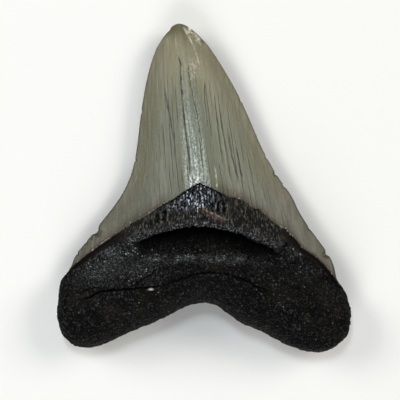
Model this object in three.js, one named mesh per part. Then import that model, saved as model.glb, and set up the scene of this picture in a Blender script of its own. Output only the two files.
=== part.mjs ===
// A fossil megalodon tooth, lying on its labial (flatter) face with its lingual face up.
// Millimetres. X runs across the tooth, +Y from the root to the tip, +Z up.
// The origin is at the middle of the tooth's box, on the surface it lies on.

import * as THREE from 'three';
import { ParametricGeometry } from 'three/addons/geometries/ParametricGeometry.js';
import { mergeGeometries, mergeVertices } from 'three/addons/utils/BufferGeometryUtils.js';

// ---- driving dimensions, mm ----

// The crown.
const TIP_Y = 59;               // tip of the crown
const LEDGE_Y = -14.5;          // foot of the bourlette on the centre line
const BLADE_BULGE = 13.5;       // lingual face of the crown above its cutting edges, at the ledge
const BLADE_TAPER = 0.62;       // power by which that bulge grows from the tip
const BLADE_FLARE = 1.2;        // power of its section: above 1, the edges are thin and flared
const EDGE_HEIGHT = 4.8;        // height of the cutting edges where they lie lowest
const EDGE_LOW_Y = 14;          // where that is
const EDGE_RISE = 1.7;          // how much higher they are at the tip and at the crown's foot

// The root.
const ROOT_EDGE_HEIGHT = 8.5;   // height at which its two faces meet at its outline
const ROOT_SIDE_POWER = 3.8;    // roundness of its section from side to side
const ROOT_FOOT_POWER = 2.4;    // roundness of its section at its foot
const FOOT_START = 0.83;        // share of the length after which it rounds off towards its foot
const TORUS_HEIGHT = 26;        // its top on the centre line: the thickest place
const LOBE_DROP = 6.5;          // how much lower its top is at the ends of its lobes
const LOBE_X = 46;              // distance of those ends from the middle

// The step between them on the lingual face.
const HOLLOW_DEPTH = 4.2;       // from the bourlette down into the hollow above the root
const STEP_START = -0.5;        // below the bourlette's lip, the surface steps down
const STEP_END = 3.5;           // between these distances
const HOLLOW_HALF_WIDTH = 38;   // distance from the middle at which the hollow has faded out
const RISE_START = 1.5;         // below its upper limit, the root climbs to its full thickness
const RISE_END = 13.5;          // between these distances on the centre line,
const LOBE_RISE_START = -1;     // and between these
const LOBE_RISE_END = 9;        // at the ends of the lobes
const MEETING_RADIUS = 1.6;     // of the inside corner where crown and root meet

// The crown's lower limits.
const SHOULDER_Y = -31.2;       // where the crown's edges end and the root's shoulders begin
const SHOULDER_LENGTH = 6;      // distance over which those sides turn from sharp to round
const SHOULDER_FALL = 9.4;      // how fast the lingual limit falls away from the middle
const SHOULDER_BEND = 20;       // distance from the middle over which that fall sets in
const SHOULDER_TILT = 0.08;     // its further fall on the right side, mm per mm
const LABIAL_ARCH = 8;          // how much higher the labial limit is in the middle
const LABIAL_HALF_WIDTH = 48;   // distance from the middle at which that arch ends
const LABIAL_TILT = 0.053;      // its fall towards the right, mm per mm

// The labial face, which the tooth lies on.
const CONTACT_MARGIN = 0.7;     // its bulge past the surface it lies on, pressed flat there
const LABIAL_SWELL = 34;        // distance from the tip over which it grows to that bulge
const SADDLE_DEPTH = 1.3;       // shallow dip between crown and lobes
const SADDLE_Y = -30;
const SADDLE_HALF_WIDTH = 24;
const SADDLE_HALF_LENGTH = 9;

// The grid.
const COLUMNS = 48;             // cells across each face
const ROWS = 48;                // cells along each face, tip to foot
const CROWDING = 0.65;          // share by which cells crowd together where the surface turns over
const TIP_BOW_END = 0.12;       // share of the length over which rows follow the rounded tip
const FOOT_BOW_START = 0.4;     // share of the length after which they follow the root's foot

const TOOTH_COLOUR = 0x4d4d44;

// ---- outline, seen from above ----

const curve = (points) => new THREE.CatmullRomCurve3(points.map(([x, y]) => new THREE.Vector3(x, y, 0)));

const tipArc = curve([[-12.6, 56.2], [-11.2, 58], [-9, 59], [-6.6, 58.4], [-4.4, 56.8]]);

const leftSide = curve([
  [-12.6, 56.2], [-15.8, 52], [-18, 47], [-20.3, 39], [-22.1, 28.4], [-23.5, 15.5], [-25.6, 5.5],
  [-29.5, -3], [-36, -11.8], [-42.6, -20.4], [-46.6, -26], [-47.2, -28.6],
  [-49.5, -31.2], [-51.6, -37.6], [-52.6, -43.5], [-52, -48],
]);

const rightSide = curve([
  [-4.4, 56.8], [-0.4, 53.3], [4.1, 47.2], [8.6, 40], [12.8, 32.4], [16.9, 23.4], [20.9, 14],
  [27.2, 2.7], [34, -8.8], [40.3, -18], [44.4, -23.6], [46.6, -28], [47.8, -33.4],
  [50.5, -36.8], [52, -40.8], [52.6, -44.6], [52.2, -48],
]);

const rootFoot = curve([
  [-52, -48], [-49.8, -52.6], [-45.4, -56.2], [-40.2, -57.6], [-34.4, -55.8], [-26.3, -52.2],
  [-14.9, -47.5], [-5.6, -43], [0.4, -41.6], [6, -43.6], [12, -48.2], [20.8, -52],
  [29, -56.4], [35.4, -58.7], [41.9, -59], [47.6, -56.6], [51.2, -52.8], [52.2, -48],
]);

// ---- helpers ----

const { lerp, smoothstep } = THREE.MathUtils;

const bell = (x, width) => Math.exp(-((x / width) ** 2));

// Rows and columns stand closer together where the surface turns over.
const crowdAtEnd = (t) => lerp(t, Math.sin(t * Math.PI / 2), CROWDING);
const crowdAtBothEnds = (t) => 0.5 + 0.5 * Math.sign(t - 0.5) * crowdAtEnd(Math.abs(2 * t - 1));

// The larger of two heights, with a round inside corner between them.
const blendedMax = (a, b, radius) => 0.5 * (a + b + Math.sqrt((a - b) ** 2 + radius ** 2)) - 0.25 * radius;

// ---- plan: a grid of rows from the tip to the root's foot ----

// Each row runs straight from the left side to the right side, plus a bow that follows the rounded tip
// at one end of the tooth and the arch and lobes of the root at the other.
function planPoint(across, along) {
  const left = leftSide.getPointAt(along);
  const right = rightSide.getPointAt(along);
  const tipChord = leftSide.getPoint(0).lerp(rightSide.getPoint(0), across);
  const footChord = leftSide.getPoint(1).lerp(rightSide.getPoint(1), across);
  const tipBow = tipArc.getPointAt(across).sub(tipChord);
  const footBow = rootFoot.getPointAt(across).sub(footChord);
  return left.lerp(right, across)
    .addScaledVector(tipBow, 1 - smoothstep(along, 0, TIP_BOW_END))
    .addScaledVector(footBow, smoothstep(along, FOOT_BOW_START, 1));
}

// ---- regions ----

// The lingual face's root begins at this line: highest in the middle, lower towards both shoulders.
function rootLine(x) {
  const fall = SHOULDER_FALL * (Math.hypot(1, x / SHOULDER_BEND) - 1);
  return LEDGE_Y - fall - SHOULDER_TILT * Math.max(0, x);
}

// The labial face's root begins at a shallower line that meets the same two shoulders.
function labialLine(x) {
  const arch = LABIAL_ARCH * (1 - (x / LABIAL_HALF_WIDTH) ** 2);
  return SHOULDER_Y - LABIAL_TILT * x + arch;
}

// 0 on the crown's sharp sides, 1 on the root's round ones.
const rootness = (x, y) => smoothstep(labialLine(x) - y, 0, SHOULDER_LENGTH);

// How much of the way from the tip to the ledge, 1 at the ledge.
const fromTip = (y) => Math.max(0, TIP_Y - y) / (TIP_Y - LEDGE_Y);

// Height of the seam where the two faces meet.
function seamHeight(x, y) {
  const bend = Math.min(1, ((y - EDGE_LOW_Y) / (TIP_Y - EDGE_LOW_Y)) ** 2);
  return lerp(EDGE_HEIGHT + EDGE_RISE * bend, ROOT_EDGE_HEIGHT, rootness(x, y));
}

// How full a section is: 1 in the middle, 0 at the outline. The crown has thin flared edges.
const fromMiddle = (across) => Math.abs(2 * across - 1);
const bladeFullness = (across) => (1 - fromMiddle(across) ** 2) ** BLADE_FLARE;

// The root's sides and foot are round.
const roundOff = (t, power) => Math.sqrt(1 - Math.min(1, t) ** power);
const intoFoot = (along) => Math.max(0, (along - FOOT_START) / (1 - FOOT_START));
const footFullness = (along) => roundOff(intoFoot(along), ROOT_FOOT_POWER);
const rootFullness = (across, along) => roundOff(fromMiddle(across), ROOT_SIDE_POWER) * footFullness(along);

// ---- the two faces ----

function lingualHeight(x, y, across, along) {
  const belowLine = rootLine(x) - y;
  const foot = footFullness(along);
  const step = HOLLOW_DEPTH * smoothstep(belowLine, STEP_START, STEP_END) * bell(x, HOLLOW_HALF_WIDTH);
  const blade = BLADE_BULGE * fromTip(y) ** BLADE_TAPER * bladeFullness(across) * foot - step;
  const outward = Math.min(1, Math.abs(x) / LOBE_X);
  const riseStart = lerp(RISE_START, LOBE_RISE_START, outward);
  const riseEnd = lerp(RISE_END, LOBE_RISE_END, outward);
  const thickness = TORUS_HEIGHT - ROOT_EDGE_HEIGHT - LOBE_DROP * outward ** 2;
  const root = thickness * smoothstep(belowLine, riseStart, riseEnd) * rootFullness(across, along);
  return seamHeight(x, y) + Math.max(0, blendedMax(blade, root, MEETING_RADIUS * foot));
}

function labialHeight(x, y, across, along) {
  const seam = seamHeight(x, y);
  const swell = Math.min(1, Math.sqrt(Math.max(0, TIP_Y - y) / LABIAL_SWELL));
  const blade = bladeFullness(across) * footFullness(along);
  const fullness = lerp(blade, rootFullness(across, along), rootness(x, y));
  const saddle = SADDLE_DEPTH * bell(x, SADDLE_HALF_WIDTH) * bell(y - SADDLE_Y, SADDLE_HALF_LENGTH);
  return Math.max(0, seam - (seam + CONTACT_MARGIN) * swell * fullness + saddle);
}

// One face as a grid of COLUMNS by ROWS. Both faces share the seam that runs round the tooth.
function face(height) {
  const placePoint = (u, v, target) => {
    const across = crowdAtBothEnds(u);
    const along = crowdAtEnd(v);
    const { x, y } = planPoint(across, along);
    const onSeam = u === 0 || u === 1 || v === 0 || v === 1;
    target.set(x, y, onSeam ? seamHeight(x, y) : height(x, y, across, along));
  };
  return splitAlongContours(new ParametricGeometry(placePoint, COLUMNS, ROWS));
}

// Splits each four-sided cell along the diagonal whose two ends are nearer in height, so that steps and
// ridges that cross the grid at a slant stay straight.
function splitAlongContours(grid) {
  const z = (i) => grid.attributes.position.getZ(i);
  const perRow = COLUMNS + 1;
  const triangles = [];
  for (let row = 0; row < ROWS; row += 1) {
    for (let column = 0; column < COLUMNS; column += 1) {
      const a = row * perRow + column;
      const b = a + 1;
      const c = b + perRow;
      const d = a + perRow;
      const joinsAC = Math.abs(z(a) - z(c)) < Math.abs(z(b) - z(d));
      triangles.push(...(joinsAC ? [a, b, c, a, c, d] : [a, b, d, b, c, d]));
    }
  }
  grid.setIndex(triangles);
  return grid;
}

function turnedOver(geometry) {
  geometry.setIndex(Array.from(geometry.index.array).reverse());
  return geometry;
}

function toothGeometry() {
  const shell = mergeGeometries([turnedOver(face(lingualHeight)), face(labialHeight)]);
  shell.deleteAttribute('normal');
  shell.deleteAttribute('uv');
  const closed = mergeVertices(shell, 1e-4);
  closed.computeVertexNormals();
  return closed;
}

// ---- the part ----

const tooth = new THREE.Mesh(
  toothGeometry(),
  new THREE.MeshStandardMaterial({ color: TOOTH_COLOUR, roughness: 0.45, metalness: 0 }),
);
tooth.name = 'tooth';

const group = new THREE.Group();
group.add(tooth);

export default group;
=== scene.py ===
"""A fossil megalodon tooth, lying on its labial face on a pale floor, laid out as an add-on.

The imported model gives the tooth's outline and its two faces. This file makes the surface on them: the
enameloid with its growth cracks and serrated cutting edges, the wrinkled bourlette, the hollow under it and
the sandy root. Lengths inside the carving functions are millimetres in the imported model's frame: x across
the tooth, y from the root to the tip, z up out of the lingual face.
"""

import functools
import math

import bmesh
import bpy
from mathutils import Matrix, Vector, kdtree, noise
from mathutils.bvhtree import BVHTree


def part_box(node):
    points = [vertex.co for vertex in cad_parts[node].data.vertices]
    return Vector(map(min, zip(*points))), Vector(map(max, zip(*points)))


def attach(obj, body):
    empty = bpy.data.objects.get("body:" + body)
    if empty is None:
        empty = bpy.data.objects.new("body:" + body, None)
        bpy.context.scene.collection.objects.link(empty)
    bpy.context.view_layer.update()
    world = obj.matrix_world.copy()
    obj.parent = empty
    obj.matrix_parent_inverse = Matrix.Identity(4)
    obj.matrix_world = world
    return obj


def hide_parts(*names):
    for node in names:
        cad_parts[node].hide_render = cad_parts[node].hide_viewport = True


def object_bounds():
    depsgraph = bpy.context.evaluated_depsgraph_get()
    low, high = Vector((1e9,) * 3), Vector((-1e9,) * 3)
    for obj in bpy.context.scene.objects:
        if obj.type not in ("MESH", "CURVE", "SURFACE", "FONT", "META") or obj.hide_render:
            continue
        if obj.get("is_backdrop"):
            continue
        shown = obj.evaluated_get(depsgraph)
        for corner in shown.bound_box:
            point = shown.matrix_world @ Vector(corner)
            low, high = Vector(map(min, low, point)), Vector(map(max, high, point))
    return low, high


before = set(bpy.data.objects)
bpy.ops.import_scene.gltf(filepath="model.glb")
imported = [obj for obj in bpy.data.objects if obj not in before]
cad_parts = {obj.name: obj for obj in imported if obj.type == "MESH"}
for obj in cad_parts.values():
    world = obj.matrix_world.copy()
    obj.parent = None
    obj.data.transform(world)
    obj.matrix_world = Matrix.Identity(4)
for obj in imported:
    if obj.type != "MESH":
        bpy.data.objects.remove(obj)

bl_info = {
    "name": "Fossil megalodon tooth",
    "version": (1, 0, 0),
    "blender": (4, 5, 0),
    "location": "View3D > Sidebar > Fossil",
    "description": "Carves and finishes a fossil shark tooth around its packed shape, and lights it",
    "category": "Object",
}

CAD_LOW, CAD_HIGH = (corner.copy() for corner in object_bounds())
NODE = "tooth"
TOOTH_LOW, TOOTH_HIGH = (Vector(corner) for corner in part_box(NODE))

MM = 0.001  # metres

# ---- where things are on the tooth, mm ----

# The lower border of the enameloid on the lingual face, from the left shoulder to the right one.
ENAMEL_FOOT = (
    (-48, -29.4), (-43, -25.4), (-38.8, -22.1), (-35, -19.5), (-30.3, -16.3), (-25.3, -12.9),
    (-20.3, -10.2), (-15.3, -6.9), (-11, -4.6), (-6.2, -1.2), (-3.7, 0.3), (-1.5, 1.5), (-0.4, 0.9),
    (1.9, 0), (4.4, -1.2), (8.2, -3.4), (13.2, -4.6), (16.9, -7.2), (20.2, -8.3), (22, -10.3),
    (26.2, -13.8), (29.2, -15.1), (32.7, -18.8), (35.5, -22.1), (39.5, -24.6), (43, -27.8), (48, -33.8),
)
# The lip, where the bourlette ends and the root begins, and beyond the hollow the lower side of the groove.
LEDGE = (
    (-48, -30), (-42, -26.2), (-38, -23.3), (-35, -21.6), (-32, -20.2), (-29.4, -19.3), (-26.4, -21),
    (-23.8, -19.6), (-21.3, -18.7), (-18.8, -17.1), (-15, -16.1), (-11.2, -15.3), (-7.5, -14.4),
    (-3.5, -14), (2, -14.2), (7.4, -15.3), (13.9, -16.7), (15.4, -18), (17.7, -19.3), (22, -20.6),
    (24.5, -21.8), (26.4, -23.2), (29.6, -19.2), (32.7, -21.2), (35.5, -24), (39.5, -26.4), (43, -29.4),
    (48, -34.4),
)

SHOULDER_Y = -31.2       # where the tooth's sharp sides end, on the centre line
SHOULDER_SLOPE = -0.053  # the right shoulder lies a little lower
LABIAL_ARCH = 8.0        # how far the labial face's root reaches above that line in the middle
HALF_WIDTH = 48.0        # of that arch

# Growth cracks in the enameloid: path, width and depth.
CRACKS = (
    (((-9.6, 47.9), (-8.3, 43.9), (-8.1, 37), (-7.1, 25.7), (-6.4, 19.5), (-5.2, 10.2), (-4.6, 1)),
     0.32, 0.28),
    (((-5.5, 46), (-5.1, 39.2), (-4.2, 33.6), (-2.8, 28.1), (-1.8, 22.4), (0.3, 10.2)), 0.2, 0.2),
    (((-8.2, 49), (-7.4, 44.7), (-7, 39)), 0.16, 0.1),
    (((-14.1, 36.5), (-12.8, 28.5), (-11.6, 23.2), (-10.4, 16.2), (-10, 9)), 0.2, 0.18),
    (((-11.6, 40.6), (-10.6, 33), (-9.8, 28)), 0.17, 0.1),
    (((0.2, 39), (0.5, 30.5), (1.1, 24.5), (1.3, 20)), 0.2, 0.18),
    (((4.5, 27), (5.3, 19.5), (6.3, 11.9), (7, 6.9)), 0.2, 0.16),
    (((5.7, 27.9), (7, 19.1), (8.6, 9.4), (9.9, 0.5)), 0.19, 0.16),
    (((8.7, 20.5), (10.3, 9.8), (11.2, 7.3), (12.4, 0.5)), 0.23, 0.2),
    (((11.6, 14.8), (12.9, 7.3), (14.1, 0)), 0.2, 0.17),
    (((-14.9, 23.4), (-14.2, 17), (-13.7, 10)), 0.16, 0.1),
    (((-17, 15.2), (-16.7, 8.5)), 0.15, 0.1),
    (((-1.2, 19), (-0.4, 12), (-0.2, 5)), 0.16, 0.1),
    (((3.2, 16), (3.9, 8), (4.2, 0.5)), 0.2, 0.14),
    (((16, 11), (17.4, 4), (18.2, -2)), 0.16, 0.1),
)
# Creases in the root, the same way.
CREASES = (
    (((-44.4, -40.6), (-40, -38.6), (-36.3, -36.8), (-32, -36), (-25.8, -35.7), (-19.4, -35.4),
      (-13.7, -34.7)), 0.38, 1.1),
    (((-15, -35), (-11.3, -33.4), (-6.7, -32.1), (-2.2, -30.6), (3, -30), (7.6, -30.3), (14.4, -32.6),
      (20.1, -35.4), (26, -38.6)), 0.36, 0.85),
    (((-46, -37.4), (-40, -35.6), (-35.4, -35.4)), 0.36, 0.5),
    (((-25.8, -35.5), (-23.2, -33.5), (-19.4, -31.2), (-16, -28.8)), 0.36, 0.6),
    (((26, -33), (33, -35.6), (40, -39.4)), 0.36, 0.4),
)
# Pale ridges: path and width. The three at the tip and the one at the left shoulder are worn; the four in the
# crown's middle are painted glints along the flanks of its cracks.
WORN_AND_GLINT_RIDGES = (
    (((-6.9, 57.2), (-5.8, 54.8), (-3.8, 50.8)), 0.32),
    (((-4.1, 51.4), (-2.4, 47), (-1.7, 43.6)), 0.2),
    (((-10.2, 56), (-9.9, 53), (-9.7, 49.2)), 0.11),
    (((-37, -20.6), (-34.4, -18.6)), 0.2),
    (((-0.4, 14.5), (0.4, 7), (0.8, 0.6)), 0.2),
    (((3.9, 7.5), (4.4, 3), (4.7, -1)), 0.2),
    (((-7.2, 21), (-6, 11), (-6.3, 0)), 0.2),
    (((-6.3, 26), (-5.2, 18), (-4.2, 9.3), (-3.5, 2)), 0.26),
)
# Chips out of the cutting edges: centre, radius and depth.
EDGE_CHIPS = (
    ((-38.4, -15.9), 1.5, 1.1), ((-40.2, -18.3), 0.6, 0.35), ((-41.7, -20), 0.7, 0.25),
    ((-43.4, -21.9), 0.6, 0.15), ((-45, -24), 0.6, 0.25), ((43.9, -24), 1.0, 1.0),
    ((22.7, 10.8), 0.7, 0.35), ((25.7, 4.7), 0.8, 0.45), ((28.4, 0.4), 0.7, 0.3),
    ((-22.3, 27), 0.6, 0.3), ((-24.4, 9.6), 0.6, 0.25), ((13.4, 31), 0.6, 0.25),
    ((38, -14.8), 0.7, 0.3), ((-0.6, 52.6), 0.7, 0.3),
)
# Small pits in the bourlette, painted dark with shade: centre, half width, half height, depth.
BOURLETTE_PITS = (
    ((-16.5, -11.4), 0.9, 1.3, 0.9), ((-13.9, -9.8), 0.7, 1.7, 0.9), ((-18.6, -12.4), 0.6, 0.9, 0.5),
    ((3.1, -7.8), 0.45, 1.4, 0.8), ((5.2, -7.9), 0.5, 1.6, 0.9), ((7.3, -7.6), 0.5, 1.5, 0.9),
    ((1.2, -6.6), 0.35, 1.0, 0.5), ((-9.6, -9.4), 0.4, 1.1, 0.4), ((10.6, -8.8), 0.4, 1.2, 0.5),
)
# Thin pale ridges beside them: x, and the y where each starts and ends.
BOURLETTE_RIBS = (
    (-15.1, -9.4, -12.9), (-12.7, -6.2, -12.4), (4.2, -6.6, -9.6), (6.3, -6.4, -10), (8.4, -6.2, -9.8),
)
# Greyer sand beyond the hollow's ends and on the left lobe: centre, half width, half height and share.
ROOT_SHOULDERS = (
    ((-32.5, -23.5), 6.5, 3.4, 0.9), ((-37, -28.5), 9, 5.5, 0.55), ((-24, -29), 9, 4, 0.4),
    ((-19, -25), 5, 2.4, 0.6), ((31, -23.5), 4, 2.8, 0.45), ((38, -29), 6, 3, 0.2),
)
# Where the lip's sand is palest, partly a painted highlight where it catches the light: centre, half width
# and half height.
PALE_LIP = (((-25.4, -20.9), 1.4, 2.2), ((16.6, -17), 1.6, 1.3))
# A pale grain set in the root: centre, half width and half height.
PALE_FLECK = ((-18.3, -35.8), 0.85, 0.27)
# The rust patch: the middle of its upper side, tilt in radians, half length and width.
RUST_PATCH = ((3.6, -9.6), -0.42, 4.9, 1.7)
# The facet worn along the right side of the tip: its two ends and its width.
WORN_TIP = ((-6.6, 57.4), (-0.2, 51), 1.25)
# Places where the outline stands out a little more, or less: centre, radius and shift.
SWELLS = (
    ((-50.5, -33.5), 4.5, (-0.9, 0.2)), ((-47, -56), 7, (-0.8, -0.7)), ((31, -3), 5.5, (0.9, 0)),
    ((43, -58), 7, (0.4, -0.3)), ((-22.5, 18), 12, (-0.3, 0)), ((-9, 61), 8, (0, -0.5)),
    ((-49.5, -30.3), 1.8, (0.8, 0)), ((-45, -21.6), 2.5, (-0.4, 0)),
)
# The pitted patch of the enameloid: centre, half width and half height.
PITTED_PATCH = ((-3.9, 41.8), 3.2, 3.6)
# The crown's growth lines fan out from its tip. Of the middle one: x where y is 0, lean and bend.
MIDDLE_LINE = (-4.3, -0.11, 0.0005)
LANE_SPREAD = 0.0035  # how much further apart they lie for each mm towards the root
LANE_UNIT_Y = 20      # where they are 1 mm apart


# ---- small helpers ----

def linear(hex_colour):
    """An sRGB hex colour as linear RGBA."""
    channels = [int(hex_colour[i:i + 2], 16) / 255 for i in (1, 3, 5)]
    return [c / 12.92 if c <= 0.04045 else ((c + 0.055) / 1.055) ** 2.4 for c in channels] + [1.0]


def ramp(value, start, end):
    """0 at start, 1 at end, smooth between."""
    t = min(1.0, max(0.0, (value - start) / (end - start)))
    return t * t * (3 - 2 * t)


def bell(distance, width, power=2):
    """1 where distance is 0, fading out over width; a higher power gives it a flatter top."""
    return math.exp(-(distance / width) ** power)


def spot(x, y, centre, half_width, half_height, power=1):
    """1 at centre, fading out round it; a higher power gives it a flatter top."""
    across, along = (x - centre[0]) / half_width, (y - centre[1]) / half_height
    return math.exp(-(across ** 2 + along ** 2) ** power)


def height_on(line, x):
    """The y of a line given by points from left to right."""
    for (x0, y0), (x1, y1) in zip(line, line[1:]):
        if x <= x1:
            return y0 + (y1 - y0) * max(0.0, (x - x0) / (x1 - x0))
    return line[-1][1]


def distance_to(path, x, y):
    """Distance from a point to a path, and how far along it the nearest place is, from 0 to 1."""
    best, where = math.inf, 0.0
    for i, ((x0, y0), (x1, y1)) in enumerate(zip(path, path[1:])):
        dx, dy = x1 - x0, y1 - y0
        t = ((x - x0) * dx + (y - y0) * dy) / (dx * dx + dy * dy)
        t = min(1.0, max(0.0, t))
        gap = math.hypot(x - x0 - t * dx, y - y0 - t * dy)
        if gap < best:
            best, where = gap, (i + t) / (len(path) - 1)
    return best, where


class Groove:
    """A crack, crease or ridge along a path, quick to test against many points."""

    REACH = 3         # widths from the path at which nothing is left of it
    FADE = 6          # its ends fade over a sixth of its length
    END_SHARE = 0.15  # what is left of it at its very ends

    def __init__(self, path, width, depth=1.0):
        self.path, self.width, self.depth = path, width, depth
        reach = self.REACH * width
        self.x = min(x for x, _ in path) - reach, max(x for x, _ in path) + reach
        self.y = min(y for _, y in path) - reach, max(y for _, y in path) + reach

    def share(self, x, y):
        """1 on the path, falling to 0 beside it and at its two ends."""
        if not (self.x[0] < x < self.x[1] and self.y[0] < y < self.y[1]):
            return 0.0
        gap, along = distance_to(self.path, x, y)
        nearer_end = min(along, 1 - along)
        return min(1.0, self.FADE * nearer_end + self.END_SHARE) * bell(gap, self.width)


CRACK_GROOVES = [Groove(*crack) for crack in CRACKS]
CREASE_GROOVES = [Groove(*crease) for crease in CREASES]
RIDGES = [Groove(*ridge) for ridge in WORN_AND_GLINT_RIDGES]


def ripple(x, y, z, across, along, seed=0.0):
    """Noise from -1 to 1 whose grain is across mm wide and along mm long."""
    return noise.noise(Vector((x / across + seed, y / along, z / across)))


def waves(layers, x, y=0.0, z=0.0):
    """Ripples on top of each other; each layer has a height, a grain across and along, and a seed."""
    return sum(height * ripple(x, y, z, across, along, seed) for height, across, along, seed in layers)


def growth_lane(x, y):
    """Which of the crown's growth lines a place is on: mm from the middle one, at the height LANE_UNIT_Y."""
    start, lean, bend = MIDDLE_LINE
    middle = start + lean * y + bend * y * y
    return (x - middle) / (1 + LANE_SPREAD * (LANE_UNIT_Y - y))


# ---- values a user would change ----

def swatch(name, description, hex_colour):
    """A colour that the user picks, set at first to an sRGB hex one."""
    return bpy.props.FloatVectorProperty(
        name=name, description=description, subtype="COLOR", size=4, min=0, max=1, default=linear(hex_colour))


class ToothShape(bpy.types.PropertyGroup):
    serration_pitch: bpy.props.FloatProperty(
        name="Serration pitch", description="Distance between the points of the cutting edges",
        default=0.78 * MM, unit="LENGTH")
    serration_depth: bpy.props.FloatProperty(
        name="Serration depth", description="How far those points stand out",
        default=0.3 * MM, unit="LENGTH")
    enamel_thickness: bpy.props.FloatProperty(
        name="Enameloid step", description="Height of the enameloid's border above the bourlette",
        default=0.4 * MM, unit="LENGTH")
    hollow_depth: bpy.props.FloatProperty(
        name="Hollow depth", description="Depth of the hollow just below the bourlette's lip",
        default=2.6 * MM, unit="LENGTH")
    grain: bpy.props.FloatProperty(
        name="Root grain", description="Height of the root's smallest modelled grains",
        default=0.2 * MM, unit="LENGTH")


class ToothFinish(bpy.types.PropertyGroup):
    enamel: swatch("Enameloid", "Grey-green of the crown", "#626653")
    enamel_tip: swatch("Enameloid near the tip", "Warmer, paler grey towards the tip", "#958d69")
    enamel_margin: swatch("Enameloid margin", "Olive brown along the cutting edges", "#555237")
    enamel_foot: swatch("Enameloid foot", "Tan along the crown's lower border", "#41391f")
    # Painted highlight: the key light's sheen down the crown's middle.
    painted_sheen_highlight: swatch("Enameloid's middle", "Bluish speckled band down the crown's middle", "#cbd9d3")
    # Painted highlight: a patch of white glints just above the bourlette's peak.
    painted_white_glints: swatch("White grains", "Brightest grains, above the bourlette's peak", "#f2eef3")
    worn: swatch("Worn enameloid", "Pale chips, flakes and ridges", "#dbd3c0")
    # Also the painted shade of the chips, the serrations' notches and the very cutting edge.
    crack: swatch("Cracks", "Mineral stain in the growth cracks", "#15150b")
    bourlette: swatch("Bourlette", "Black glaze of the bourlette", "#030407")
    # Painted highlight: glints on the crests of the bourlette's wrinkles.
    painted_crest_glints: swatch("Bourlette's wrinkles", "Blue-grey crests of its wrinkles", "#dfeaf8")
    bourlette_brown: swatch("Bourlette's streaks", "Grey-brown streaks of its foot and flanks", "#5b594e")
    # Painted shade for the pits and for the hollow under the lip.
    painted_pit_and_hollow_shade: swatch("Bourlette's pits", "Depth of its pits and of the hollow below it", "#020202")
    rust: swatch("Rust", "Iron stain on the bourlette", "#5a4438")
    # Partly sand, partly a painted highlight where the lip's edge is lit.
    lip: swatch("Lip", "Blue-grey sand along the bourlette's lip", "#757b7f")
    groove_brown: swatch("Outer grooves", "Maroon of the grooves below the crown's shoulders", "#140d0b")
    root: swatch("Root", "Black mineralised bone", "#040404")
    root_grain: swatch("Root grains", "Grey grains in the root", "#393d3b")
    # Painted highlight: glints on the root's grains.
    painted_root_glints: swatch("Root glints", "The few pale grains that catch the light", "#b4babc")
    root_brown: swatch("Root clouds", "Faint brown clouds in the root", "#15110e")
    # Painted shade in the root's creases.
    painted_crease_shade: swatch("Root creases", "Depth of the root's creases", "#010101")


class StageLook(bpy.types.PropertyGroup):
    floor: swatch("Floor", "Pale floor that the tooth lies on", "#f3f4f2")
    backdrop: swatch("Backdrop", "Pale room beyond the floor", "#f4f7fa")
    camera_elevation: bpy.props.FloatProperty(
        name="Camera elevation", description="Angle of the view above the floor",
        default=math.radians(89.6), subtype="ANGLE")
    view_width: bpy.props.FloatProperty(
        name="View width", description="Width of what the camera sees at the tooth",
        default=0.1428, unit="LENGTH")
    lens: bpy.props.FloatProperty(
        name="Lens", description="Focal length in millimetres", default=135.0, unit="CAMERA")
    key_power: bpy.props.FloatProperty(
        name="Key light", description="Power of the light beyond the tip", default=1.7, unit="POWER")
    fill_power: bpy.props.FloatProperty(
        name="Fill light", description="Power of the wide side lights", default=6.2, unit="POWER")
    sky: bpy.props.FloatProperty(
        name="Room light", description="Strength of the light from all round", default=0.1)


# ---- the tooth's mesh ----

WELD_GAP = 0.01 * MM              # corners nearer than this are one
SHARP_ANGLE = math.radians(70)    # the two faces meet at more than this on a cutting edge, and nowhere else
SURFACE_LEVELS = 3                # of subdivision in the smooth surface that the mesh is laid on
MESH_LEVELS = 1                   # of subdivision in the mesh before its regions are refined
FINE_ABOVE, FINE_BELOW = 1.5, 9   # mm above and below the bourlette that get its fine mesh too
LEAST_SHARE = 1e-4                # of a groove, where the mesh is still fine
LINGUAL_TILT = 0.1                # least upward part of a lingual face's normal
SERRATION_BAND = 1.2              # mm of each face beside a cutting edge that the serrations reach
SERRATION_EDGE = 0.45 * MM        # edges longer than this are split there
SERRATION_CUTS = 3
ALONG_LIMIT = 0.6                 # an edge runs along the outline if less than this part of it points out
SHOULDER_MARGIN = 0.5             # mm above the shoulders, where the serrations begin


def welded_quads(node):
    """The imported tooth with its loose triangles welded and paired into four-sided faces."""
    bm = bmesh.new()
    bm.from_mesh(node.data)
    bmesh.ops.remove_doubles(bm, verts=bm.verts, dist=WELD_GAP)
    bmesh.ops.join_triangles(
        bm, faces=bm.faces, angle_face_threshold=math.pi, angle_shape_threshold=math.pi)
    return bm


def is_knife_edge(edge):
    """True on the crown's cutting edges, where the two faces meet at a sharp angle."""
    return len(edge.link_faces) == 2 and edge.calc_face_angle(0.0) > SHARP_ANGLE


def rounded(bm, levels):
    """The mesh subdivided smoothly, with the cutting edges kept sharp, as a new bmesh."""
    crease = bm.edges.layers.float.new("crease_edge")
    for edge in bm.edges:
        edge[crease] = 1.0 if is_knife_edge(edge) else 0.0
    mesh = bpy.data.meshes.new("tooth_blank")
    bm.to_mesh(mesh)
    blank = bpy.data.objects.new("tooth_blank", mesh)
    bpy.context.scene.collection.objects.link(blank)
    smooth = blank.modifiers.new("Roundness", "SUBSURF")
    smooth.levels = smooth.render_levels = levels
    evaluated = blank.evaluated_get(bpy.context.evaluated_depsgraph_get())
    result = bpy.data.meshes.new_from_object(evaluated)
    fine = bmesh.new()
    fine.from_mesh(result)
    bpy.data.objects.remove(blank)
    bpy.data.meshes.remove(mesh)
    bpy.data.meshes.remove(result)
    return fine


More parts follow.
